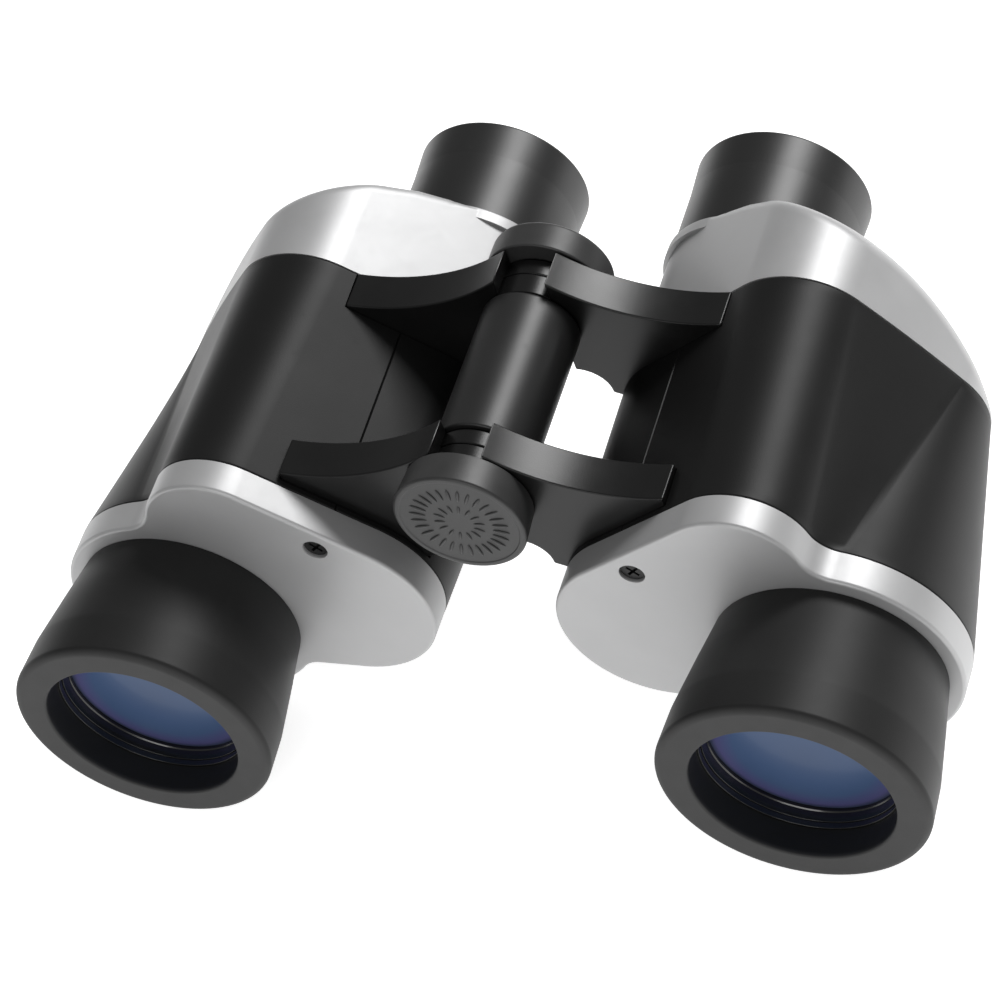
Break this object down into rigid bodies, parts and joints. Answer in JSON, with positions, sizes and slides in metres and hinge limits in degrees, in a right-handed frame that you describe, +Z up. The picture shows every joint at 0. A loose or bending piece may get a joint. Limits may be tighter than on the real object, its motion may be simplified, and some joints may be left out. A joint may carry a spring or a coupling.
{
  "type": "binoculars",
  "caption": "Porro-prism binoculars with rubber hoods and eyecups, silver end covers, two prism housings that fold about a central hinge, and a capped tripod socket.",
  "frame": {"origin": "under the middle of the object, level with the lowest line of the objective hoods", "axes": "+X from the left half to the right half as seen from the front, +Y from the objectives to the eyecups along both optical axes and the hinge, +Z up towards the hinge"},
  "size_m": [0.1756, 0.1344, 0.0687],
  "materials": {
    "cast_paint": "satin dark grey paint on a die casting",
    "armour_rubber": "satin black rubber covering",
    "silver_paint": "fine satin silver paint",
    "black_screw": "blackened",
    "hood_rubber": "satin black moulded rubber",
    "cell_black": "glossy black",
    "coated_glass": "blue coated",
    "clear_glass": "polished",
    "eye_glass": "coated",
    "prism_glass": "polished",
    "shelf_alloy": "matt cast",
    "screw_steel": "plated",
    "spring_steel": "polished strip",
    "eyecup_rubber": "satin black moulded rubber",
    "axle_steel": "turned",
    "tube_rubber": "satin black",
    "nylon": "natural",
    "washer_brass": "turned",
    "cap_plastic": "satin black",
    "seal_rubber": "matt"
  },
  "bodies": {
    "left_half": {"left_housing": "cast_paint", "left_armour": "armour_rubber", "left_front_plate": "silver_paint", "left_front_screw": "black_screw", "left_hood": "hood_rubber", "left_objective_tube": "cell_black", "left_objective_crown": "coated_glass", "left_objective_flint": "clear_glass", "left_objective_ring": "cell_black", "left_prism_shelf": "shelf_alloy", "left_shelf_screws": "screw_steel", "left_front_prism": "prism_glass", "left_rear_prism": "prism_glass", "left_prism_clips": "spring_steel", "left_rear_cover": "silver_paint", "left_cover_screws": "screw_steel", "left_eyepiece_barrel": "cell_black", "left_field_lens": "clear_glass", "left_field_stop": "cell_black", "left_eye_lens": "eye_glass", "left_eye_ring": "cell_black", "left_eyecup": "eyecup_rubber", "hinge_axle": "axle_steel", "hinge_tube": "tube_rubber", "hinge_bushes": "nylon", "front_washer": "washer_brass", "tension_washer": "spring_steel", "hinge_nut": "axle_steel", "rear_cap": "cap_plastic"},
    "right_half": {"right_housing": "cast_paint", "right_armour": "armour_rubber", "right_front_plate": "silver_paint", "right_front_screw": "black_screw", "right_hood": "hood_rubber", "right_objective_tube": "cell_black", "right_objective_crown": "coated_glass", "right_objective_flint": "clear_glass", "right_objective_ring": "cell_black", "right_prism_shelf": "shelf_alloy", "right_shelf_screws": "screw_steel", "right_front_prism": "prism_glass", "right_rear_prism": "prism_glass", "right_prism_clips": "spring_steel", "right_rear_cover": "silver_paint", "right_cover_screws": "screw_steel", "right_eyepiece_barrel": "cell_black", "right_field_lens": "clear_glass", "right_field_stop": "cell_black", "right_eye_lens": "eye_glass", "right_eye_ring": "cell_black", "right_eyecup": "eyecup_rubber"},
    "cap_seal": {"cap_seal": "seal_rubber"},
    "front_cap": {"front_cap": "cap_plastic"}
  },
  "joints": [
    {"name": "hinge_fold", "type": "hinge", "parent": "left_half", "child": "right_half", "pos_m": [0, 0, 0.0562], "axis": [0, -1, 0], "range_deg": [-5, 42]},
    {"name": "cap_lift", "type": "slide", "parent": "left_half", "child": "cap_seal", "axis": [0, -1, 0], "range_m": [0, 0.04]},
    {"name": "cap_turn", "type": "hinge", "parent": "cap_seal", "child": "front_cap", "pos_m": [0, -0.03705, 0.0562], "axis": [0, -1, 0], "continuous": true}
  ]
}
